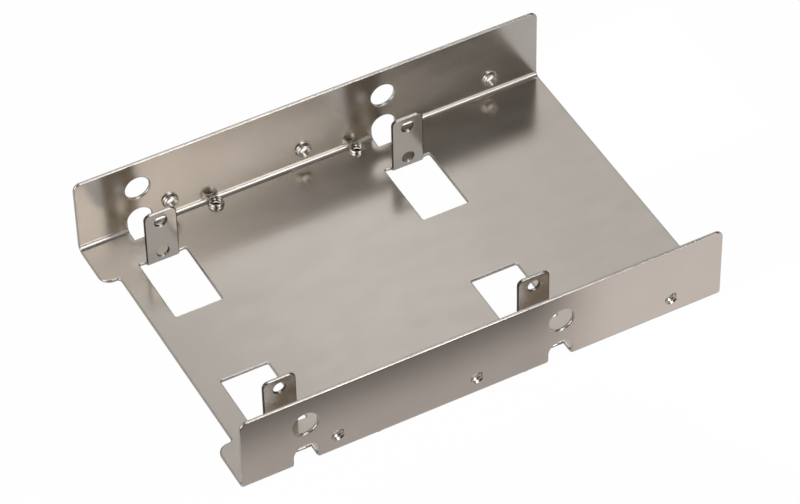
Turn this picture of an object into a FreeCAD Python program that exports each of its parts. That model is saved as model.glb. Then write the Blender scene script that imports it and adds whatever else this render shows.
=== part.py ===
import FreeCAD, Part
import Sketcher
import math
import os

# Tray that carries two small drives, one above the other, in a larger drive bay.
# It is a single sheet of steel: blanked, pierced, tapped and folded into a U.
# X runs along the tray, Y across it and Z up, in millimetres.
# The origin is the middle of the tray's underside.

# Driving dimensions: millimetres, and degrees for the draft
SIZES = {
    # Folded channel
    "tray_length": 145.4,
    "tray_width": 101.6,
    "tray_height": 25.0,
    "sheet_thickness": 1.0,
    "fold_inner_radius": 1.4,
    "flange_corner_radius": 2.3,
    # Ears beside the flanges, where the end of the base is set back
    "ear_length": 5.0,
    "ear_width": 16.4,
    "ear_tip_radius": 3.5,
    "ear_root_radius": 1.0,
    # Drives that the tabs hold
    "drive_width": 69.85,
    "drive_side_clearance": 0.125,
    "drive_hole_pitch": 76.6,
    "drive_hole_height": 3.0,
    "drive_stack_pitch": 11.6,
    "first_drive_hole": 18.8,
    # Tabs folded up out of the base
    "tab_width": 9.8,
    "tab_height": 19.2,
    "tab_corner_radius": 2.0,
    "tab_fold_radius": 0.3,
    "tab_hole_diameter": 3.5,
    # Windows that the tabs leave in the base
    "relief_before_tab": 2.0,
    "relief_after_tab": 2.4,
    "window_half_gap": 13.7,
    "window_corner_radius": 0.6,
    # Ways for the screwdriver through the flanges
    "driver_way_width": 7.4,
    "driver_notch_depth": 5.0,
    # Screw holes for the bay, tapped in bosses that are drawn inwards
    "first_side_screw": 28.2,
    "side_screw_short_pitch": 41.6,
    "side_screw_long_pitch": 60.0,
    "side_screw_height": 6.6,
    "first_base_screw": 41.0,
    "base_screw_pitch": 44.45,
    "base_screw_inset": 3.4,
    "screw_bore_diameter": 3.3,
    "screw_mouth": 0.35,
    "boss_wall": 0.5,
    "boss_height": 1.2,
    "boss_draft": 5.0,
    "boss_edge": 0.15,
}

# Copies of each form along one side of the tray
DRIVE_STATIONS = 2
BASE_SCREWS = 2

# Two lengths nearer than this, in millimetres, count as the same
NEAR = 1e-4

# The sketcher's own numbers for the origin, the axes and a curve's points
ORIGIN, LEVEL_AXIS, UPRIGHT_AXIS = -1, -1, -2
START, END, CENTRE = 1, 2, 3

doc = FreeCAD.newDocument("drive_tray")
sizes = doc.addObject("Spreadsheet::Sheet", "sizes")
for row, (alias, number) in enumerate(SIZES.items(), start=1):
    sizes.set("A%d" % row, alias.replace("_", " "))
    sizes.set("B%d" % row, str(number))
    sizes.setAlias("B%d" % row, alias)
doc.recompute()

# Lengths that follow from the driving ones, as expressions on the sheet
HALF_LENGTH = "sizes.tray_length / 2"
HALF_WIDTH = "sizes.tray_width / 2"
FOLD_OUTER_RADIUS = "sizes.fold_inner_radius + sizes.sheet_thickness"
INNER_FACE = "sizes.tray_width / 2 - sizes.sheet_thickness"
TAB_FACE = "sizes.drive_width / 2 + sizes.drive_side_clearance"
TAB_FOLD_TOP = "sizes.sheet_thickness + sizes.tab_fold_radius"
TAB_FOLD_LINE = TAB_FACE + " + " + TAB_FOLD_TOP
TAB_START = "sizes.first_drive_hole - sizes.tab_width / 2"
TAB_STOP = "sizes.first_drive_hole + sizes.tab_width / 2"
WINDOW_START = TAB_START + " - sizes.relief_before_tab"
WINDOW_STOP = TAB_STOP + " + sizes.relief_after_tab"
LOWER_HOLE = "sizes.sheet_thickness + sizes.drive_hole_height"
UPPER_HOLE = LOWER_HOLE + " + sizes.drive_stack_pitch"
WAY_RADIUS = "sizes.driver_way_width / 2"
SECOND_SIDE_SCREW = "sizes.first_side_screw + sizes.side_screw_short_pitch"
THIRD_SIDE_SCREW = SECOND_SIDE_SCREW + " + sizes.side_screw_long_pitch"
BOSS_TIP_DIAMETER = "sizes.screw_bore_diameter + 2 * sizes.boss_wall"
BOSS_ROOT_DIAMETER = BOSS_TIP_DIAMETER + " + 2 * sizes.boss_height * tan(sizes.boss_draft)"
BOSS_TIP = "sizes.sheet_thickness + sizes.boss_height"


def value(expression):
    """The number that an expression on the sheet gives."""
    result = sizes.evalExpression(expression)
    return float(getattr(result, "Value", result))


def datum(role):
    """The body's own origin plane or axis with this role."""
    return next(item for item in body.Origin.OriginFeatures if item.Role == role)


def new_sketch(name, role, across="0", up="0", out="0"):
    """A sketch on an origin plane, moved within the plane and out along its normal."""
    sketch = body.newObject("Sketcher::SketchObject", name)
    sketch.AttachmentSupport = [(datum(role), "")]
    sketch.MapMode = "FlatFace"
    sketch.setExpression(".AttachmentOffset.Base.x", across)
    sketch.setExpression(".AttachmentOffset.Base.y", up)
    sketch.setExpression(".AttachmentOffset.Base.z", out)
    return sketch


def hold(sketch, kind, *places, size):
    """A dimension whose length is bound to the sheet."""
    index = sketch.addConstraint(Sketcher.Constraint(kind, *places, value(size)))
    sketch.setExpression("Constraints[%d]" % index, size)


def hold_at(sketch, kind, curve, point, size):
    """Holds a point at a distance from the sketch's origin, or on its axis for none."""
    if size is None:
        axis = UPRIGHT_AXIS if kind == "DistanceX" else LEVEL_AXIS
        sketch.addConstraint(Sketcher.Constraint("PointOnObject", curve, point, axis))
    else:
        hold(sketch, kind, ORIGIN, START, curve, point, size=size)


def join(sketch, kind, first, first_point, second, second_point):
    """Joins two curves end to end, at a sharp corner or smoothly."""
    sketch.addConstraint(Sketcher.Constraint(kind, first, first_point, second, second_point))


def draw_arc(sketch, centre, radius, start_angle, stop_angle):
    """An arc that runs anticlockwise from one angle to the other."""
    circle = Part.Circle(centre, FreeCAD.Vector(0, 0, 1), radius)
    return sketch.addGeometry(Part.ArcOfCircle(circle, start_angle, stop_angle), False)


def draw_circle(sketch, across, up, diameter):
    """A circle held by its centre and its diameter."""
    centre = FreeCAD.Vector(value(across), value(up), 0)
    ring = Part.Circle(centre, FreeCAD.Vector(0, 0, 1), value(diameter) / 2)
    curve = sketch.addGeometry(ring, False)
    hold_at(sketch, "DistanceX", curve, CENTRE, across)
    hold_at(sketch, "DistanceY", curve, CENTRE, up)
    hold(sketch, "Diameter", curve, size=diameter)


def draw_outline(sketch, corners):
    """A closed outline of level and upright sides, from (across, up, radius) corners.

    Across and up are expressions, or None on the axis. A corner with a radius gets a
    tangent arc, and one without stays sharp. Each side is held by one dimension.
    """
    count = len(corners)
    spots = []
    for across, up, radius in corners:
        spots.append(FreeCAD.Vector(value(across or "0"), value(up or "0"), 0))
    reach = [value(radius or "0") for across, up, radius in corners]
    ways = [(spots[(n + 1) % count] - spots[n]).normalize() for n in range(count)]
    sides = []
    for n in range(count):
        following = (n + 1) % count
        first = spots[n] + ways[n] * reach[n]
        last = spots[following] - ways[n] * reach[following]
        side = sketch.addGeometry(Part.LineSegment(first, last), False)
        sides.append(side)
        upright = abs(ways[n].x) < abs(ways[n].y)
        sketch.addConstraint(Sketcher.Constraint("Vertical" if upright else "Horizontal", side))
        if upright:
            hold_at(sketch, "DistanceX", side, START, corners[n][0])
        else:
            hold_at(sketch, "DistanceY", side, START, corners[n][1])
    for n in range(count):
        before, after, radius = sides[n - 1], sides[n], corners[n][2]
        if radius is None:
            join(sketch, "Coincident", before, END, after, START)
            continue
        arrive, leave = ways[n - 1], ways[n]
        centre = spots[n] - arrive * reach[n] + leave * reach[n]
        anticlockwise = arrive.cross(leave).z > 0
        outward = -leave if anticlockwise else arrive
        start_angle = math.atan2(outward.y, outward.x)
        arc = draw_arc(sketch, centre, reach[n], start_angle, start_angle + math.pi / 2)
        join(sketch, "Tangent", before, END, arc, START if anticlockwise else END)
        join(sketch, "Tangent", after, START, arc, END if anticlockwise else START)
        hold(sketch, "Radius", arc, size=radius)


def draw_arch(sketch, across, up, radius):
    """An arch that stands on the level axis and ends in a half circle."""
    middle, springing, half = value(across), value(up), value(radius)
    right_foot = FreeCAD.Vector(middle + half, 0, 0)
    left_foot = FreeCAD.Vector(middle - half, 0, 0)
    right_top = FreeCAD.Vector(middle + half, springing, 0)
    left_top = FreeCAD.Vector(middle - half, springing, 0)
    right = sketch.addGeometry(Part.LineSegment(right_foot, right_top), False)
    crown = draw_arc(sketch, FreeCAD.Vector(middle, springing, 0), half, 0, math.pi)
    left = sketch.addGeometry(Part.LineSegment(left_top, left_foot), False)
    sill = sketch.addGeometry(Part.LineSegment(left_foot, right_foot), False)
    join(sketch, "Tangent", right, END, crown, START)
    join(sketch, "Tangent", crown, END, left, START)
    join(sketch, "Coincident", left, END, sill, START)
    join(sketch, "Coincident", sill, END, right, START)
    sketch.addConstraint(Sketcher.Constraint("Vertical", right))
    sketch.addConstraint(Sketcher.Constraint("Vertical", left))
    hold_at(sketch, "DistanceY", sill, START, None)
    hold_at(sketch, "DistanceY", sill, END, None)
    hold_at(sketch, "DistanceX", crown, CENTRE, across)
    hold_at(sketch, "DistanceY", crown, CENTRE, up)
    hold(sketch, "Radius", crown, size=radius)


def finish(feature, adds):
    """Recomputes and makes sure that the feature added metal, or took some away."""
    before = feature.BaseFeature.Shape.Volume if feature.BaseFeature else 0.0
    doc.recompute()
    change = feature.Shape.Volume - before
    if (change > 0) != adds:
        raise RuntimeError("%s changed the volume by %.3f mm3" % (feature.Name, change))
    return feature


def add_pad(name, sketch, length, flip=False, draft=None):
    """Metal on one side of a sketch."""
    pad = body.newObject("PartDesign::Pad", name)
    pad.Profile = sketch
    pad.Reversed = flip
    pad.setExpression("Length", length)
    if draft:
        pad.setExpression("TaperAngle", draft)
    return finish(pad, adds=True)


def add_pocket(name, sketch, length, flip=False):
    """A cut on one side of a sketch."""
    pocket = body.newObject("PartDesign::Pocket", name)
    pocket.Profile = sketch
    pocket.Reversed = flip
    pocket.setExpression("Length", length)
    return finish(pocket, adds=False)


def edges_where(test):
    """The names of the edges of the body's last feature that pass a test."""
    edges = enumerate(body.Tip.Shape.Edges, start=1)
    return ["Edge%d" % number for number, edge in edges if test(edge)]


def add_fillet(name, test, radius):
    """Rounds every edge that passes a test."""
    base = body.Tip
    names = edges_where(test)
    fillet = body.newObject("PartDesign::Fillet", name)
    fillet.Base = (base, names)
    fillet.setExpression("Radius", radius)
    doc.recompute()
    return fillet


def add_chamfer(name, test, width):
    """Breaks every edge that passes a test."""
    base = body.Tip
    names = edges_where(test)
    chamfer = body.newObject("PartDesign::Chamfer", name)
    chamfer.Base = (base, names)
    chamfer.setExpression("Size", width)
    doc.recompute()
    return chamfer


def mirror_across(name, originals):
    """The same forms on the far side of the tray."""
    mirrored = body.newObject("PartDesign::Mirrored", name)
    mirrored.Originals = originals
    mirrored.MirrorPlane = (datum("XZ_Plane"), [""])
    body.Tip = mirrored
    doc.recompute()
    return mirrored


def repeat_along_and_across(name, originals, pitch, copies):
    """The same forms one pitch further along, and all of them on the far side."""
    pattern = body.newObject("PartDesign::MultiTransform", name)
    along = body.newObject("PartDesign::LinearPattern", name + "_along")
    across = body.newObject("PartDesign::Mirrored", name + "_across")
    along.Direction = (datum("X_Axis"), [""])
    along.Mode = "Spacing"
    along.setExpression("Offset", pitch)
    along.Occurrences = copies
    across.MirrorPlane = (datum("XZ_Plane"), [""])
    pattern.Originals = originals
    pattern.Transformations = [along, across]
    body.Tip = pattern
    doc.recompute()
    return pattern


def middle_of(edge):
    """The point half way along an edge."""
    return edge.valueAt((edge.FirstParameter + edge.LastParameter) / 2)


def near(first, second):
    """Whether two lengths are the same."""
    return abs(first - second) < NEAR


def runs_along(edge, axis):
    """Whether an edge is straight and parallel to an axis."""
    straight = isinstance(edge.Curve, Part.Line)
    return straight and near(abs(edge.Curve.Direction.dot(axis)), 1)


def is_ring(edge, radius):
    """Whether an edge is a whole circle of this radius."""
    return isinstance(edge.Curve, Part.Circle) and edge.isClosed() and near(edge.Curve.Radius, radius)


body = doc.addObject("PartDesign::Body", "folded_bracket")
body.Label = "folded_bracket"
body.Placement = FreeCAD.Placement(FreeCAD.Vector(0, 0, 0), FreeCAD.Rotation())
doc.recompute()

# Channel: the folded section, with true fold arcs, drawn out along the tray
section = new_sketch("section", "YZ_Plane", across="-" + HALF_WIDTH, out="-" + HALF_LENGTH)
near_skin = "sizes.sheet_thickness"
far_skin = "sizes.tray_width - sizes.sheet_thickness"
draw_outline(section, [
    (None, None, FOLD_OUTER_RADIUS),
    ("sizes.tray_width", None, FOLD_OUTER_RADIUS),
    ("sizes.tray_width", "sizes.tray_height", None),
    (far_skin, "sizes.tray_height", None),
    (far_skin, "sizes.sheet_thickness", "sizes.fold_inner_radius"),
    (near_skin, "sizes.sheet_thickness", "sizes.fold_inner_radius"),
    (near_skin, "sizes.tray_height", None),
    (None, "sizes.tray_height", None),
])
add_pad("channel", section, "sizes.tray_length")

# Set-back end of the base, between the two ears
set_back = new_sketch("set_back", "XY_Plane", across="-" + HALF_LENGTH, up="-" + HALF_WIDTH)
far_ear = "sizes.tray_width - sizes.ear_width"
draw_outline(set_back, [
    (None, "sizes.ear_width", None),
    ("sizes.ear_length", "sizes.ear_width", None),
    ("sizes.ear_length", far_ear, None),
    (None, far_ear, None),
])
add_pocket("end_cut", set_back, "sizes.sheet_thickness", flip=True)

end_x = -value(HALF_LENGTH)
root_x = end_x + value("sizes.ear_length")
ear_y = value(HALF_WIDTH) - value("sizes.ear_width")
top_z = value("sizes.tray_height")
along_z = FreeCAD.Vector(0, 0, 1)
along_y = FreeCAD.Vector(0, 1, 0)


def is_ear_corner(edge, x):
    """Whether an edge is a corner of an ear, this far along the tray."""
    spot = middle_of(edge)
    return runs_along(edge, along_z) and near(spot.x, x) and near(abs(spot.y), ear_y)


def is_flange_corner(edge):
    """Whether an edge is a top corner of a flange."""
    spot = middle_of(edge)
    return runs_along(edge, along_y) and near(abs(spot.x), -end_x) and near(spot.z, top_z)


add_fillet("ear_tips", lambda edge: is_ear_corner(edge, end_x), "sizes.ear_tip_radius")
add_fillet("ear_roots", lambda edge: is_ear_corner(edge, root_x), "sizes.ear_root_radius")
add_fillet("flange_corners", is_flange_corner, "sizes.flange_corner_radius")

# One drive station: the window, the tab folded up at its outer edge, and the driver ways
window = new_sketch("window", "XY_Plane", across="-" + HALF_LENGTH, up="-(%s)" % TAB_FOLD_LINE)
window_depth = TAB_FOLD_LINE + " - sizes.window_half_gap"
draw_outline(window, [
    (WINDOW_START, None, "sizes.window_corner_radius"),
    (WINDOW_STOP, None, "sizes.window_corner_radius"),
    (WINDOW_STOP, window_depth, "sizes.window_corner_radius"),
    (WINDOW_START, window_depth, "sizes.window_corner_radius"),
])
window_cut = add_pocket("window_cut", window, "sizes.sheet_thickness", flip=True)

fold = new_sketch("fold", "YZ_Plane", across="-(%s)" % TAB_FOLD_LINE, out=TAB_START + " - " + HALF_LENGTH)
fold_centre = FreeCAD.Vector(0, value(TAB_FOLD_TOP), 0)
inner_radius = value("sizes.tab_fold_radius")
outer_radius = value(TAB_FOLD_TOP)
quarter = -math.pi / 2
inside = draw_arc(fold, fold_centre, inner_radius, quarter, 0)
outside = draw_arc(fold, fold_centre, outer_radius, quarter, 0)
base_end = Part.LineSegment(FreeCAD.Vector(0, 0, 0), FreeCAD.Vector(0, outer_radius - inner_radius, 0))
root = fold.addGeometry(base_end, False)
inner_top = FreeCAD.Vector(inner_radius, outer_radius, 0)
outer_top = FreeCAD.Vector(outer_radius, outer_radius, 0)
top = fold.addGeometry(Part.LineSegment(inner_top, outer_top), False)
join(fold, "Coincident", inside, CENTRE, outside, CENTRE)
join(fold, "Coincident", root, START, outside, START)
join(fold, "Coincident", root, END, inside, START)
join(fold, "Coincident", top, START, inside, END)
join(fold, "Coincident", top, END, outside, END)
hold_at(fold, "DistanceX", inside, CENTRE, None)
hold_at(fold, "DistanceY", inside, CENTRE, TAB_FOLD_TOP)
hold_at(fold, "DistanceX", root, START, None)
hold_at(fold, "DistanceX", root, END, None)
fold.addConstraint(Sketcher.Constraint("Horizontal", inside, CENTRE, inside, END))
fold.addConstraint(Sketcher.Constraint("Horizontal", top))
hold(fold, "Radius", inside, size="sizes.tab_fold_radius")
hold(fold, "Radius", outside, size=TAB_FOLD_TOP)
tab_fold = add_pad("tab_fold", fold, "sizes.tab_width")

blade = new_sketch("blade", "XZ_Plane", across="-" + HALF_LENGTH, out=TAB_FACE)
draw_outline(blade, [
    (TAB_START, TAB_FOLD_TOP, None),
    (TAB_STOP, TAB_FOLD_TOP, None),
    (TAB_STOP, "sizes.tab_height", "sizes.tab_corner_radius"),
    (TAB_START, "sizes.tab_height", "sizes.tab_corner_radius"),
])
draw_circle(blade, "sizes.first_drive_hole", LOWER_HOLE, "sizes.tab_hole_diameter")
draw_circle(blade, "sizes.first_drive_hole", UPPER_HOLE, "sizes.tab_hole_diameter")
tab_blade = add_pad("tab_blade", blade, "sizes.sheet_thickness")

ways = new_sketch("driver_ways", "XZ_Plane", across="-" + HALF_LENGTH, out=HALF_WIDTH)
draw_arch(ways, "sizes.first_drive_hole", LOWER_HOLE, WAY_RADIUS)
draw_circle(ways, "sizes.first_drive_hole", UPPER_HOLE, "sizes.driver_way_width")
way_cut = add_pocket("driver_way_cut", ways, "sizes.driver_notch_depth")

repeat_along_and_across(
    "stations",
    [window_cut, tab_fold, tab_blade, way_cut],
    "sizes.drive_hole_pitch",
    DRIVE_STATIONS,
)

# Three side screws in each flange: a drafted boss on the inner face and its bore
side_boss_rings = new_sketch("side_boss_rings", "XZ_Plane", across="-" + HALF_LENGTH, out=INNER_FACE)
side_bore_rings = new_sketch("side_bore_rings", "XZ_Plane", across="-" + HALF_LENGTH, out=HALF_WIDTH)
for spot in ("sizes.first_side_screw", SECOND_SIDE_SCREW, THIRD_SIDE_SCREW):
    draw_circle(side_boss_rings, spot, "sizes.side_screw_height", BOSS_ROOT_DIAMETER)
    draw_circle(side_bore_rings, spot, "sizes.side_screw_height", "sizes.screw_bore_diameter")
side_bosses = add_pad(
    "side_bosses", side_boss_rings, "sizes.boss_height", flip=True, draft="-sizes.boss_draft"
)
side_bores = add_pocket("side_bores", side_bore_rings, BOSS_TIP)
mirror_across("far_side_screws", [side_bosses, side_bores])

# Two base screws beside each fold, tapped from below
base_boss_ring = new_sketch(
    "base_boss_ring", "XY_Plane", across="-" + HALF_LENGTH, up="-" + HALF_WIDTH, out="sizes.sheet_thickness"
)
base_bore_ring = new_sketch("base_bore_ring", "XY_Plane", across="-" + HALF_LENGTH, up="-" + HALF_WIDTH)
draw_circle(base_boss_ring, "sizes.first_base_screw", "sizes.base_screw_inset", BOSS_ROOT_DIAMETER)
draw_circle(base_bore_ring, "sizes.first_base_screw", "sizes.base_screw_inset", "sizes.screw_bore_diameter")
base_boss = add_pad("base_boss", base_boss_ring, "sizes.boss_height", draft="-sizes.boss_draft")
base_bore = add_pocket("base_bore", base_bore_ring, BOSS_TIP, flip=True)
repeat_along_and_across("base_screws", [base_boss, base_bore], "sizes.base_screw_pitch", BASE_SCREWS)

# Lead-in on the outer face of each bore, and the broken edge at the tip of each boss
bore_radius = value("sizes.screw_bore_diameter") / 2
tip_radius = value(BOSS_TIP_DIAMETER) / 2
outer_y = value(HALF_WIDTH)
tip_z = value(BOSS_TIP)
tip_y = outer_y - tip_z
skin_z = value("sizes.sheet_thickness") / 2
base_screw_y = outer_y - value("sizes.base_screw_inset")
first_base_x = end_x + value("sizes.first_base_screw")
base_screw_xs = [first_base_x + n * value("sizes.base_screw_pitch") for n in range(BASE_SCREWS)]


def is_mouth(edge):
    """Whether an edge bounds a bore on the outer face of a flange or of the base."""
    spot = middle_of(edge)
    if is_ring(edge, bore_radius) and near(abs(spot.y), outer_y):
        return True
    if spot.z > skin_z or runs_along(edge, along_z):
        return False
    reach = min(math.hypot(spot.x - x, abs(spot.y) - base_screw_y) for x in base_screw_xs)
    return near(reach, bore_radius)


def is_tip(edge):
    """Whether an edge is the outer ring at the tip of a boss."""
    spot = middle_of(edge)
    at_tip = near(abs(spot.y), tip_y) or near(spot.z, tip_z)
    return is_ring(edge, tip_radius) and at_tip


add_chamfer("screw_mouths", is_mouth, "sizes.screw_mouth")
add_chamfer("boss_tips", is_tip, "sizes.boss_edge")

doc.recompute()
for item in doc.Objects:
    if "Invalid" in item.State or "Error" in item.State:
        raise RuntimeError("%s is %s" % (item.Name, item.State))
if body.Shape.isNull() or not body.Shape.isValid() or len(body.Shape.Solids) != 1:
    raise RuntimeError("%s is not one valid solid" % body.Label)

box = body.Shape.BoundBox
print("%s: %.2f x %.2f x %.2f mm" % (body.Label, box.XLength, box.YLength, box.ZLength))
print("volume %.1f mm3, %d faces" % (body.Shape.Volume, len(body.Shape.Faces)))

os.makedirs("parts", exist_ok=True)
body.Shape.exportStep("parts/%s.step" % body.Label)
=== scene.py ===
import bpy
import bmesh
import math
from mathutils import Matrix, Vector
from mathutils.bvhtree import BVHTree


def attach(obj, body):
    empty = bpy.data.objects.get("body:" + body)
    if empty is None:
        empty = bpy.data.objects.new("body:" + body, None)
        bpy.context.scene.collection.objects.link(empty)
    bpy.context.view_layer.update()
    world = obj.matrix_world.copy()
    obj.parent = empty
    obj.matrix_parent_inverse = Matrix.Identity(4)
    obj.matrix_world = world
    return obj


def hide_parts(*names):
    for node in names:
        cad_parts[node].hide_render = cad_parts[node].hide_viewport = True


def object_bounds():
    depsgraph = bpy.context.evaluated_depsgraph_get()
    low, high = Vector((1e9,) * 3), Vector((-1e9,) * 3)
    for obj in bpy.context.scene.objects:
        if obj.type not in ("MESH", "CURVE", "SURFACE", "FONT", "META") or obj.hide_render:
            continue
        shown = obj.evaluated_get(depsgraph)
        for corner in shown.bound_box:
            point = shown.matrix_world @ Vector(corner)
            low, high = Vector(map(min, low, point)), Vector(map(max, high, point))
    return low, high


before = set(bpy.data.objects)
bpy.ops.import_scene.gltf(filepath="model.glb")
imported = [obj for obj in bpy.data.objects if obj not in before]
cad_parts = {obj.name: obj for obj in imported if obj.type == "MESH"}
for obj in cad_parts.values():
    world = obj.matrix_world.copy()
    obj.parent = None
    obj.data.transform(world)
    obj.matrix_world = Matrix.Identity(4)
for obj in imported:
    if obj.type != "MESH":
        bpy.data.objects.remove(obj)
cad_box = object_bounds()
scene = bpy.context.scene

MM = 0.001

# The folded sheet, in metres
HALF_LENGTH = cad_box[1].x
HALF_WIDTH = cad_box[1].y
SHEET = 1.0 * MM
FOLD_REACH = 2.45 * MM
TAB_MIDDLE = 35.55 * MM
TAB_FOOT = 2.6 * MM

# The ten screw bosses: four in the base and six in the flanges
BASE_SCREWS = (41.0 * MM, 85.45 * MM)
BASE_SCREW_INSET = 3.4 * MM
SIDE_SCREWS = (28.2 * MM, 69.8 * MM, 129.8 * MM)
SIDE_SCREW_HEIGHT = 6.6 * MM
SCREW_CLEAR = 2.9 * MM
SCREW_REACH = 3 * SHEET


def base_screw_places():
    """The middle of each base boss on the underside, and the way that the boss rises."""
    places = []
    for side in (-1, 1):
        for along in BASE_SCREWS:
            middle = Vector((along - HALF_LENGTH, side * (HALF_WIDTH - BASE_SCREW_INSET), 0))
            places.append((middle, Vector((0, 0, 1))))
    return places


def side_screw_places():
    """The middle of each flange boss on the outer face, and the way that the boss rises."""
    places = []
    for side in (-1, 1):
        for along in SIDE_SCREWS:
            middle = Vector((along - HALF_LENGTH, side * HALF_WIDTH, SIDE_SCREW_HEIGHT))
            places.append((middle, Vector((0, -side, 0))))
    return places


SCREWS = side_screw_places() + base_screw_places()


def near_screw(point):
    for middle, way in SCREWS:
        offset = point - middle
        height = offset.dot(way)
        if -SHEET < height < SCREW_REACH and (offset - way * height).length < SCREW_CLEAR:
            return True
    return False


# Shading: a smooth surface is creased where its faces meet at a large angle
def shade_smooth(work, crease):
    for face in work.faces:
        face.smooth = True
    for edge in work.edges:
        edge.smooth = len(edge.link_faces) != 2 or edge.calc_face_angle() <= crease


def new_piece(work, name):
    """An object of the scene made from the worked mesh, which is used up."""
    mesh = bpy.data.meshes.new(name)
    work.to_mesh(mesh)
    work.free()
    piece = bpy.data.objects.new(name, mesh)
    scene.collection.objects.link(piece)
    return piece


# The tray: the CAD node's own mesh, with its cut edges rounded
SAME_POINT = 1e-7
FLAT_ANGLE = math.radians(0.05)
CUT_EDGE_ANGLE = math.radians(60)
TRAY_CREASE = math.radians(32)
EDGE_ROUND = 0.38 * MM
EDGE_STEPS = 4
ROUND_PROFILE = 0.5
LARGE_FACE_WEIGHT = 100


def is_cut_edge(edge):
    """Whether an edge sticks out sharply and doesn't belong to a screw boss."""
    if len(edge.link_faces) != 2 or edge.calc_face_angle_signed() <= CUT_EDGE_ANGLE:
        return False
    return not near_screw((edge.verts[0].co + edge.verts[1].co) / 2)


def make_tray():
    work = bmesh.new()
    work.from_mesh(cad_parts["folded_bracket"].data)
    bmesh.ops.remove_doubles(work, verts=work.verts, dist=SAME_POINT)
    bmesh.ops.dissolve_limit(work, angle_limit=FLAT_ANGLE, verts=work.verts[:], edges=work.edges[:])
    cut_edges = [edge for edge in work.edges if is_cut_edge(edge)]
    bmesh.ops.bevel(work, geom=cut_edges, offset=EDGE_ROUND, offset_type="OFFSET", segments=EDGE_STEPS,
                    profile=ROUND_PROFILE, affect="EDGES", clamp_overlap=False, harden_normals=False)
    mark_metals(work)
    shade_smooth(work, TRAY_CREASE)
    tray = new_piece(work, "tray")
    weigh = tray.modifiers.new("weigh", "WEIGHTED_NORMAL")
    weigh.keep_sharp = True
    weigh.weight = LARGE_FACE_WEIGHT
    return tray


# Which metal a face of the tray has, as the number of its material slot; the torn tab sides carry painted
# shade
SHEET_METAL, CUT_METAL, BENT_METAL, TORN_PAINTED_SHADE_METAL = range(4)
PROBE_DEPTH = 0.01 * MM
THICKNESS_SLACK = 0.08 * MM
SIDEWAYS = 0.35
FOLD_TILT = (0.02, 0.9998)


def mark_metals(work):
    """Marks faces with no sheet face at the sheet's thickness behind them as cut or torn, and the folds;
    torn tab sides get painted shade.
    """
    tree = BVHTree.FromBMesh(work)
    triangles = {}
    for loops in work.calc_loop_triangles():
        triangles.setdefault(loops[0].face.index, [loop.vert.co.copy() for loop in loops])
    for face in work.faces:
        corners = triangles[face.index]
        inside = (corners[0] + corners[1] + corners[2]) / 3 - face.normal * PROBE_DEPTH
        depth = tree.ray_cast(inside, -face.normal)[3]
        on_sheet = depth is not None and abs(depth - SHEET) < THICKNESS_SLACK
        if not on_sheet and not near_screw(inside):
            face.material_index = TORN_PAINTED_SHADE_METAL if on_tab_side(inside, face.normal) else CUT_METAL
        elif in_fold(inside, face.normal):
            face.material_index = BENT_METAL


def on_tab_side(point, normal):
    on_tab = point.z > TAB_FOOT and abs(abs(point.y) - TAB_MIDDLE) < SHEET
    return on_tab and abs(normal.x) > SIDEWAYS


def in_fold(point, normal):
    near_corner = point.z < FOLD_REACH and abs(point.y) > HALF_WIDTH - FOLD_REACH
    return near_corner and FOLD_TILT[0] < abs(normal.z) < FOLD_TILT[1]


# The rolled collar of a boss, in mm: distance from its axis and height above the sheet's outer face
COLLAR_BORE = 1.64
COLLAR_OUTLINE = (
    (2.50, 0.99), (2.38, 1.03), (2.31, 1.12), (2.28, 1.26), (2.27, 1.45), (2.26, 1.65),
    (2.24, 1.85), (2.19, 2.03), (2.10, 2.17), (1.99, 2.25), (1.88, 2.28), (1.78, 2.25),
    (1.70, 2.16), (1.65, 2.04), (COLLAR_BORE, 1.90), (COLLAR_BORE, 1.50), (1.85, 1.20),
    (1.95, 0.90), (2.40, 0.90),
)
COLLAR_STEPS = 48
COLLAR_CREASE = math.radians(50)

# The thread of a boss: radii, half widths of its foot and crest and its run along the axis, all in mm
THREAD_PITCH = 0.794
THREAD_ROOT = 1.69
THREAD_CREST = 1.34
THREAD_FOOT = 0.37
THREAD_FLAT = 0.06
THREAD_START = 0.28
THREAD_END = 2.10

# Steps in a turn, the turns over which the thread's ends taper, and the share of its size left at the tip
THREAD_STEPS = 40
THREAD_TAPER = 0.35
THREAD_LEAST = 0.05
THREAD_CREASE = math.radians(25)


def ring_of(work, middle, way, turn, outline):
    """The corners of an outline that stands at an angle around a boss's axis."""
    across = Vector((1, 0, 0))
    out = across * math.cos(turn) + way.cross(across) * math.sin(turn)
    return [work.verts.new(middle + (out * radius + way * height) * MM) for radius, height in outline]


def add_collar(work, middle, way):
    turns = [2 * math.pi * step / COLLAR_STEPS for step in range(COLLAR_STEPS)]
    rings = [ring_of(work, middle, way, turn, COLLAR_OUTLINE) for turn in turns]
    for ring, next_ring in zip(rings, rings[1:] + rings[:1]):
        for k in range(len(COLLAR_OUTLINE)):
            n = (k + 1) % len(COLLAR_OUTLINE)
            work.faces.new((ring[k], next_ring[k], next_ring[n], ring[n]))


def thread_outline(height, size):
    """The thread's section at a height along the axis, grown to a share of its full size."""
    crest = THREAD_ROOT - (THREAD_ROOT - THREAD_CREST) * size
    return (
        (THREAD_ROOT, height - THREAD_FOOT * size), (crest, height - THREAD_FLAT * size),
        (crest, height + THREAD_FLAT * size), (THREAD_ROOT, height + THREAD_FOOT * size),
    )


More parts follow.
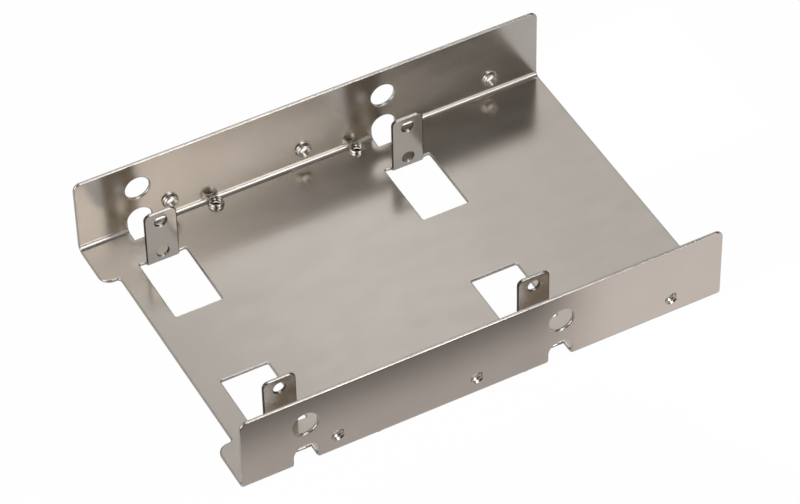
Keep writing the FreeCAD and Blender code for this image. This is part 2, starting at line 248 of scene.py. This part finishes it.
def add_thread(work, middle, way):
    """A helix of the thread's section that tapers off at both ends."""
    turns = (THREAD_END - THREAD_START) / THREAD_PITCH
    steps = round(turns * THREAD_STEPS)
    rings = []
    for step in range(steps + 1):
        share = step / steps
        size = min(1, share * turns / THREAD_TAPER, (1 - share) * turns / THREAD_TAPER)
        height = THREAD_START + (THREAD_END - THREAD_START) * share
        outline = thread_outline(height, max(size, THREAD_LEAST))
        rings.append(ring_of(work, middle, way, 2 * math.pi * turns * share, outline))
    for ring, next_ring in zip(rings, rings[1:]):
        for k in range(len(ring)):
            n = (k + 1) % len(ring)
            work.faces.new((ring[k], ring[n], next_ring[n], next_ring[k]))
    work.faces.new(tuple(rings[0][::-1]))
    work.faces.new(tuple(rings[-1]))


def make_boss_pieces(name, add_form, crease, material):
    """One piece that holds the same form in all ten bosses."""
    work = bmesh.new()
    for middle, way in SCREWS:
        add_form(work, middle, way)
    bmesh.ops.recalc_face_normals(work, faces=work.faces[:])
    shade_smooth(work, crease)
    piece = new_piece(work, name)
    piece.data.materials.append(material)
    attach(piece, "root")


# Shader nodes: a node is made with its settings and with a value or a link for each socket
def add_node(tree, kind, entries, **settings):
    node = tree.nodes.new("ShaderNode" + kind)
    for name, setting in settings.items():
        setattr(node, name, setting)
    for socket, entry in entries.items():
        if isinstance(entry, bpy.types.NodeSocket):
            tree.links.new(entry, node.inputs[socket])
        else:
            node.inputs[socket].default_value = entry
    return node


def calculate(tree, operation, *entries):
    return add_node(tree, "Math", dict(enumerate(entries)), operation=operation).outputs[0]


def spread(tree, source, band, levels, curve="LINEAR"):
    """A value that goes from the first to the second level while the source crosses the band."""
    ends = {"From Min": band[0], "From Max": band[1], "To Min": levels[0], "To Max": levels[1]}
    return add_node(tree, "MapRange", {"Value": source, **ends}, interpolation_type=curve).outputs[0]


def noise(tree, place, scale, detail):
    return add_node(tree, "TexNoise", {"Vector": place, "Scale": scale, "Detail": detail}).outputs["Fac"]


def object_place(tree):
    return add_node(tree, "TexCoord", {}).outputs["Object"]


def new_material(name):
    material = bpy.data.materials.new(name)
    material.use_nodes = True
    return material, material.node_tree


# The metals: noise cells per metre, levels of detail, and the parts of a noise's range that show
CLOUD_SCALE, CLOUD_DETAIL = 70, 4
STREAK_SCALE, STREAK_DETAIL = 160, 5
GRAIN_SCALE, GRAIN_DETAIL = 2600, 3
SPECK_SCALE, SPECK_DETAIL = 900, 1
NOISE_MIDDLE = (0.35, 0.65)
NOISE_PEAKS = (0.80, 0.84)
SPECK_HEIGHT = 3
GRAIN_DEPTH = 0.004 * MM
ROLLED = (0.35, 1, 1)
EVEN = (1, 1, 1)

# The bow of the far flange: between which heights it leans, how deep it goes, and where that flange starts
BOW_RANGE = (2.4 * MM, 23 * MM)
BOW_DEPTH = 0.29 * MM
BOW_START = HALF_WIDTH - 1.5 * SHEET


def grained_metal(name, dark, light, roughness, grain, stretch):
    """Plated metal whose colour, gloss and surface vary a little from place to place."""
    material, tree = new_material(name)
    shader = tree.nodes["Principled BSDF"]
    shader.inputs["Metallic"].default_value = 1
    place = object_place(tree)
    stretched = add_node(tree, "Mapping", {"Vector": place, "Scale": stretch}).outputs["Vector"]
    clouds = spread(tree, noise(tree, place, CLOUD_SCALE, CLOUD_DETAIL), NOISE_MIDDLE, (0, 1))
    shades = {"Factor": clouds, "A": (*dark, 1), "B": (*light, 1)}
    colour = add_node(tree, "Mix", shades, data_type="RGBA").outputs["Result"]
    streaks = noise(tree, stretched, STREAK_SCALE, STREAK_DETAIL)
    fine = noise(tree, stretched, GRAIN_SCALE, GRAIN_DETAIL)
    specks = spread(tree, noise(tree, place, SPECK_SCALE, SPECK_DETAIL), NOISE_PEAKS, (0, SPECK_HEIGHT))
    relief = {"Strength": grain, "Distance": GRAIN_DEPTH, "Height": calculate(tree, "ADD", fine, specks)}
    bump = add_node(tree, "Bump", {**relief, "Normal": bowed_flange(tree, place)})
    tree.links.new(colour, shader.inputs["Base Color"])
    tree.links.new(spread(tree, streaks, NOISE_MIDDLE, roughness), shader.inputs["Roughness"])
    tree.links.new(bump.outputs["Normal"], shader.inputs["Normal"])
    return material


def bowed_flange(tree, place):
    """The surface direction of the far flange, which looks slightly upward in its middle."""
    parts = add_node(tree, "SeparateXYZ", {0: place}).outputs
    lean = spread(tree, parts["Z"], BOW_RANGE, (0, -BOW_DEPTH), "SMOOTHSTEP")
    on_flange = calculate(tree, "GREATER_THAN", parts["Y"], BOW_START)
    height = calculate(tree, "MULTIPLY", lean, on_flange)
    return add_node(tree, "Bump", {"Distance": 1, "Height": height}).outputs["Normal"]


NICKEL = (0.590, 0.537, 0.476), (0.610, 0.557, 0.498)
CUT_NICKEL = (0.53, 0.48, 0.43), (0.60, 0.55, 0.49)
# The torn tab sides are near black: painted shade standing in for the dark reflection along these edges
TORN_PAINTED_SHADE_NICKEL = (0.06, 0.055, 0.05), (0.14, 0.125, 0.11)
sheet_metal = grained_metal("satin_nickel", *NICKEL, roughness=(0.185, 0.215), grain=0.3, stretch=ROLLED)
cut_metal = grained_metal("cut_nickel", *CUT_NICKEL, roughness=(0.12, 0.20), grain=0.15, stretch=EVEN)
torn_painted_shade_metal = grained_metal("torn_painted_shade_nickel", *TORN_PAINTED_SHADE_NICKEL, roughness=(0.22, 0.38), grain=0.6, stretch=EVEN)
bent_metal = grained_metal("bent_nickel", *NICKEL, roughness=(0.27, 0.33), grain=0.4, stretch=ROLLED)

tray = make_tray()
for metal in (sheet_metal, cut_metal, bent_metal, torn_painted_shade_metal):
    tray.data.materials.append(metal)
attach(tray, "root")
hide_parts("folded_bracket")

make_boss_pieces("boss_collars", add_collar, COLLAR_CREASE, sheet_metal)
make_boss_pieces("boss_threads", add_thread, THREAD_CREASE, sheet_metal)

# The floor: white to the camera, dimmer in the metal, with painted shade under the base screws, and clear to
# a view from below
FLOOR_DROP = 0.3 * MM
FLOOR_SIZE = 6
FLOOR_PALE = (0.9, 0.9, 0.9, 1)
FLOOR_ROUGHNESS = 0.9
# Painted shadow on the floor under the base screws, seen through their bores
FLOOR_PAINTED_SHADE = (0.04, 0.04, 0.04, 1)
PAINTED_SHADE_REACH = 2.0 * MM
WHITE = 1
CAMERA_SHARE = 0.985
METAL_SHARE = 0.55
METAL_GLOW = 0.52


def layer(tree, share, below, above):
    """Two shaders mixed, the second by the share."""
    return add_node(tree, "MixShader", {0: share, 1: below, 2: above}).outputs[0]


def glow(tree, strength):
    return add_node(tree, "Emission", {"Strength": strength}).outputs[0]


def metal_rays(tree, rays):
    """1 for a ray that comes off metal or through glass."""
    return calculate(tree, "MAXIMUM", rays["Is Glossy Ray"], rays["Is Transmission Ray"])


def away_from_screws(tree):
    """1 on the open floor and 0 close under the base screws, where the floor has painted shade."""
    place = object_place(tree)
    away = 1
    for middle, way in base_screw_places():
        reach = add_node(tree, "VectorMath", {0: place, 1: middle}, operation="DISTANCE").outputs["Value"]
        away = calculate(tree, "MULTIPLY", away, calculate(tree, "GREATER_THAN", reach, PAINTED_SHADE_REACH))
    return away


def make_floor():
    bpy.ops.mesh.primitive_plane_add(size=FLOOR_SIZE, location=(0, 0, -FLOOR_DROP))
    floor = bpy.context.object
    floor.name = "floor"
    material, tree = new_material("pale_floor")
    pale = tree.nodes["Principled BSDF"]
    pale.inputs["Base Color"].default_value = FLOOR_PALE
    pale.inputs["Roughness"].default_value = FLOOR_ROUGHNESS
    pale.inputs["Specular IOR Level"].default_value = 0
    rays = add_node(tree, "LightPath", {}).outputs
    in_metal = calculate(tree, "MULTIPLY", metal_rays(tree, rays), METAL_SHARE)
    lit = layer(tree, in_metal, pale.outputs[0], glow(tree, METAL_GLOW))
    seen = calculate(tree, "MULTIPLY", rays["Is Camera Ray"], CAMERA_SHARE)
    white = layer(tree, seen, lit, glow(tree, WHITE))
    shade = add_node(tree, "BsdfDiffuse", {"Color": FLOOR_PAINTED_SHADE}).outputs[0]
    from_above = layer(tree, away_from_screws(tree), shade, white)
    from_below = add_node(tree, "BsdfTransparent", {}).outputs[0]
    behind = add_node(tree, "NewGeometry", {}).outputs["Backfacing"]
    both_sides = layer(tree, behind, from_above, from_below)
    tree.links.new(both_sides, tree.nodes["Material Output"].inputs["Surface"])
    floor.data.materials.append(material)


make_floor()

# Cards that light the metal and stay out of the camera's sight
CARD_LIFT = 0.1 * MM

# The floor card, before the near flange: its left part is dim and darkens away from the tray
FLOOR_CARD_ACROSS, FLOOR_CARD_ALONG = (-0.35, 0.35), (-0.35, -HALF_WIDTH)
FLOOR_CARD_TINT = (1.03, 0.985, 0.99)
LEFT_REACH, LEFT_LEVELS = (5 * MM, 26 * MM), (0.54, 0.15)
RIGHT_REACH, RIGHT_LEVELS = (25 * MM, 70 * MM), (0.83, 0.66)
SEAM_WAY, SEAM_REACH = (1, 0.45, 0), (14 * MM, 42 * MM)

# The front card, high up before the tray: it fades towards the right and the tray
FRONT_CARD_ACROSS, FRONT_CARD_ALONG = (-0.08, 0.22), (-0.55, -0.10)
FRONT_CARD_HEIGHT = 0.4
FRONT_CARD_TINT = (0.96, 0.99, 1.04)
FRONT_ORIGIN, FRONT_WAY = (0, -0.32, 0), (1, 0.8, 0)
FRONT_REACH, FRONT_LEVELS = (0.095, 0.214), (1.56, 0)

# The side card, beside the right end of the far flange
SIDE_CARD_ACROSS, SIDE_CARD_ALONG = (0.074, 0.120), (0.0, 0.060)
SIDE_CARD_TINT = (0.98, 1.00, 1.02)
SIDE_LEVEL = 0.62


def fade(tree, origin, way, reach, levels):
    """A value that changes between two levels over a reach of distances from the origin along the way."""
    place = object_place(tree)
    offset = add_node(tree, "VectorMath", {0: place, 1: origin}, operation="SUBTRACT").outputs[0]
    along = add_node(tree, "VectorMath", {0: offset, 1: way}, operation="DOT_PRODUCT").outputs["Value"]
    return spread(tree, along, reach, levels, "SMOOTHSTEP")


def make_card(name, across, along, height, tint):
    """A flat card given by its ranges in X and Y; returns its node tree and the socket of its brightness."""
    corners = [(across[0], along[0]), (across[1], along[0]), (across[1], along[1]), (across[0], along[1])]
    mesh = bpy.data.meshes.new(name)
    mesh.from_pydata([(x, y, height) for x, y in corners], [], [(0, 1, 2, 3)])
    card = bpy.data.objects.new(name, mesh)
    scene.collection.objects.link(card)
    card.visible_camera = False
    card.visible_shadow = False
    material, tree = new_material(name)
    tree.nodes.remove(tree.nodes["Principled BSDF"])
    lamp = add_node(tree, "Emission", {"Color": (*tint, 1)})
    tree.links.new(lamp.outputs[0], tree.nodes["Material Output"].inputs["Surface"])
    mesh.materials.append(material)
    return tree, lamp.inputs["Strength"]


def make_floor_card():
    tree, strength = make_card("floor_card", FLOOR_CARD_ACROSS, FLOOR_CARD_ALONG, CARD_LIFT, FLOOR_CARD_TINT)
    flange_foot, forward = (0, -HALF_WIDTH, 0), (0, -1, 0)
    left = fade(tree, flange_foot, forward, LEFT_REACH, LEFT_LEVELS)
    right = fade(tree, flange_foot, forward, RIGHT_REACH, RIGHT_LEVELS)
    tree.links.new(fade(tree, flange_foot, SEAM_WAY, SEAM_REACH, (left, right)), strength)


def make_front_card():
    place = FRONT_CARD_ACROSS, FRONT_CARD_ALONG, FRONT_CARD_HEIGHT
    tree, strength = make_card("front_card", *place, FRONT_CARD_TINT)
    tree.links.new(fade(tree, FRONT_ORIGIN, FRONT_WAY, FRONT_REACH, FRONT_LEVELS), strength)


def make_side_card():
    tree, strength = make_card("side_card", SIDE_CARD_ACROSS, SIDE_CARD_ALONG, CARD_LIFT, SIDE_CARD_TINT)
    strength.default_value = SIDE_LEVEL


make_floor_card()
make_front_card()
make_side_card()

# World: white to the camera, a little of that white in the metal, and a dim light from the left
WORLD_SEEN = 0.99
WORLD_METAL_SHARE = 0.022
WORLD_FILL = 0.55
FILL_FROM = (-0.78, 0.30, 0.55)
FILL_RANGE = (0.50, 0.85)


def make_world():
    world = bpy.data.worlds.new("studio")
    scene.world = world
    world.use_nodes = True
    tree = world.node_tree
    way = add_node(tree, "TexCoord", {}).outputs["Generated"]
    side = add_node(tree, "VectorMath", {0: way, 1: FILL_FROM}, operation="DOT_PRODUCT").outputs["Value"]
    fill = spread(tree, side, FILL_RANGE, (0, WORLD_FILL), "SMOOTHSTEP")
    rays = add_node(tree, "LightPath", {}).outputs
    in_metal = calculate(tree, "MULTIPLY", metal_rays(tree, rays), WORLD_METAL_SHARE)
    seen = calculate(tree, "ADD", in_metal, rays["Is Camera Ray"])
    strength = add_node(tree, "Mix", {"Factor": seen, "A": fill, "B": WORLD_SEEN}).outputs["Result"]
    background = tree.nodes["Background"]
    background.inputs["Color"].default_value = (1, 1, 1, 1)
    tree.links.new(strength, background.inputs["Strength"])


make_world()


# Lamps: rectangles whose faces have the given brightness, 1 being white
def soft_box(name, place, aim, size, level, tint):
    width, height = size
    light = bpy.data.lights.new(name, "AREA")
    light.shape = "RECTANGLE"
    light.size = width
    light.size_y = height
    light.energy = level * width * height * math.pi
    light.color = tint
    lamp = bpy.data.objects.new(name, light)
    lamp.location = place
    away = Vector(place) - Vector(aim)
    lamp.rotation_euler = away.to_track_quat("Z", "Y").to_euler()
    scene.collection.objects.link(lamp)


SKY_DISTANCE = 2.5


def sky_box(name, azimuths, elevations, level, tint):
    """A lamp that fills a range of azimuths, from the back towards the right, and one of elevations."""
    azimuth, elevation = math.radians(sum(azimuths) / 2), math.radians(sum(elevations) / 2)
    half_across = math.radians(azimuths[1] - azimuths[0]) / 2
    half_up = math.radians(elevations[1] - elevations[0]) / 2
    flat = SKY_DISTANCE * math.cos(elevation)
    place = (flat * math.sin(azimuth), flat * math.cos(azimuth), SKY_DISTANCE * math.sin(elevation))
    size = (2 * flat * math.tan(half_across), 2 * SKY_DISTANCE * math.tan(half_up))
    soft_box(name, place, (0, 0, 0), size, level, tint)


NEUTRAL = (1.00, 1.00, 1.00)
WARM = (1.02, 1.00, 0.98)
SOFT = (0.98, 0.985, 0.99)
CLEAR = (0.98, 1.00, 1.06)
COOL = (0.94, 1.00, 1.07)
COLD = (0.96, 1.00, 1.08)

# Lamps near the tray: place, the point that the lamp faces, its size, brightness and tint
NEAR_LAMPS = {
    "front_low_b": ((0.235, -0.714, 0.363), (-0.025, -0.050, 0.025), (0.17, 0.25), 7.5, COOL),
    "front_low_d": ((0.380, -0.714, 0.363), (0.120, -0.050, 0.025), (0.12, 0.25), 1.8, COOL),
    "back_near": ((0.162, 0.375, 0.400), (0.162, 0.375, 0), (0.11, 0.20), 0.18, COOL),
}

# Parts of the sky: azimuths and elevations in degrees, brightness and tint
SKY_LAMPS = {
    "back_low": ((0, 30), (0.5, 18), 0.9, COLD),
    "back_far": ((15, 45), (36, 50), 0.775, SOFT),
    "back_up": ((0, 60), (50, 60), 0.28, NEUTRAL),
    "back_high": ((0, 60), (60, 75), 3.8, CLEAR),
    "right_low": ((30, 120), (0.5, 27), 0.50, NEUTRAL),
    "right_top": ((60, 120), (50, 75), 0.22, NEUTRAL),
    "corner": ((120, 140), (0.5, 50), 0.22, NEUTRAL),
    "front_low_a": ((140, 155), (9, 27), 1.6, COOL),
    "front_low_c": ((170, 185), (18, 36), 1.3, NEUTRAL),
    "front_bottom": ((140, 185), (0.5, 14), 0.30, NEUTRAL),
    "front_mid": ((155, 185), (36, 43), 0.40, NEUTRAL),
    "front_up": ((120, 180), (50, 75), 0.09, NEUTRAL),
    "left": ((232, 268), (0.5, 40), 2.7, COLD),
    "top": ((0, 60), (75, 90), 0.35, WARM),
}
for name, lamp in NEAR_LAMPS.items():
    soft_box(name, *lamp)
for name, lamp in SKY_LAMPS.items():
    sky_box(name, *lamp)

# Camera: metres, radians, and the focal length in pixels of the photograph
CAMERA_PLACE = (-0.3541965, -0.6852561, 0.7848806)
CAMERA_AZIMUTH = 0.478443109
CAMERA_FALL = 0.788985882
CAMERA_ROLL = -0.022799361
FOCAL_PIXELS = 4008.3493
PHOTO_WIDTH = 800
SENSOR_WIDTH = 36
CLIP_END = 10


def make_camera():
    camera = bpy.data.objects.new("camera", bpy.data.cameras.new("camera"))
    scene.collection.objects.link(camera)
    right = Vector((math.cos(CAMERA_AZIMUTH), -math.sin(CAMERA_AZIMUTH), 0))
    ahead = Vector((math.sin(CAMERA_AZIMUTH), math.cos(CAMERA_AZIMUTH), 0))
    look = ahead * math.cos(CAMERA_FALL) - Vector((0, 0, math.sin(CAMERA_FALL)))
    up = right.cross(look)
    right_rolled = math.cos(CAMERA_ROLL) * right + math.sin(CAMERA_ROLL) * up
    up_rolled = -math.sin(CAMERA_ROLL) * right + math.cos(CAMERA_ROLL) * up
    turn = Matrix((right_rolled, up_rolled, -look)).transposed().to_4x4()
    camera.matrix_world = Matrix.Translation(CAMERA_PLACE) @ turn
    camera.data.sensor_width = SENSOR_WIDTH
    camera.data.lens = FOCAL_PIXELS * SENSOR_WIDTH / PHOTO_WIDTH
    camera.data.clip_end = CLIP_END
    scene.camera = camera


make_camera()
scene.view_settings.view_transform = "Standard"
